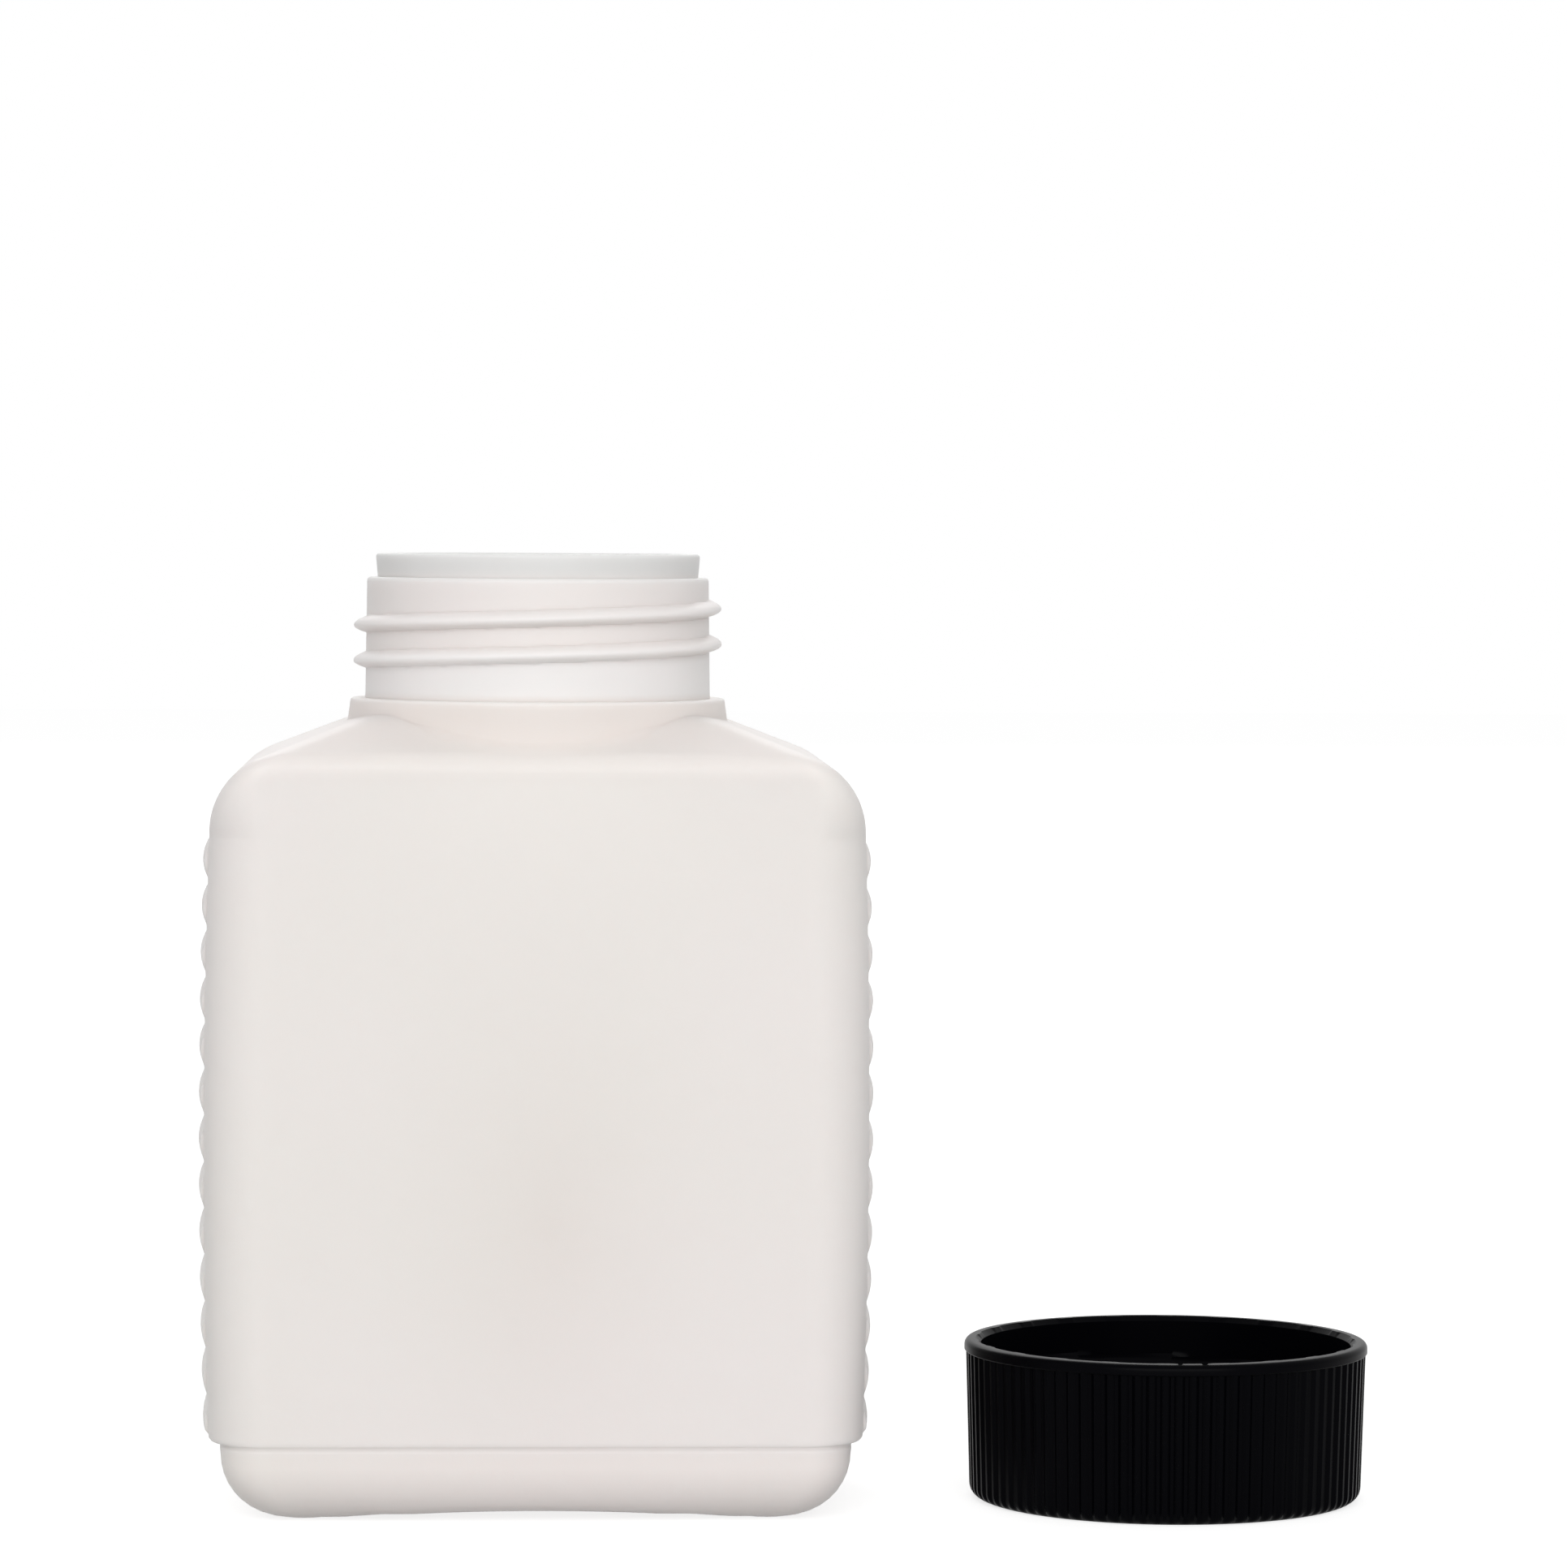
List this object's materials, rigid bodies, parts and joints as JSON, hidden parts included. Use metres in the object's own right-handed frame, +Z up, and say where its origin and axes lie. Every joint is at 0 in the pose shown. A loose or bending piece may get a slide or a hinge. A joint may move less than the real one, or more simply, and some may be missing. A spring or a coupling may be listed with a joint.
{
  "type": "square media bottle",
  "caption": "Rectangular wide-neck laboratory bottle with ribbed grip sides, a raised threaded neck and a separate knurled screw cap standing beside it.",
  "frame": {"origin": "on the neck's axis, on the plane that the bottle stands on", "axes": "+Z up along the neck's axis, +X across the wide faces towards the cap, -Y out of the front face"},
  "size_m": [0.1736, 0.0625, 0.1402],
  "materials": {
    "bottle": "natural blow-moulded polyethylene, translucent white",
    "cap": "black moulded plastic, semi-gloss"
  },
  "bodies": {
    "root": {"bottle": "bottle", "cap": "cap"}
  },
  "joints": []
}
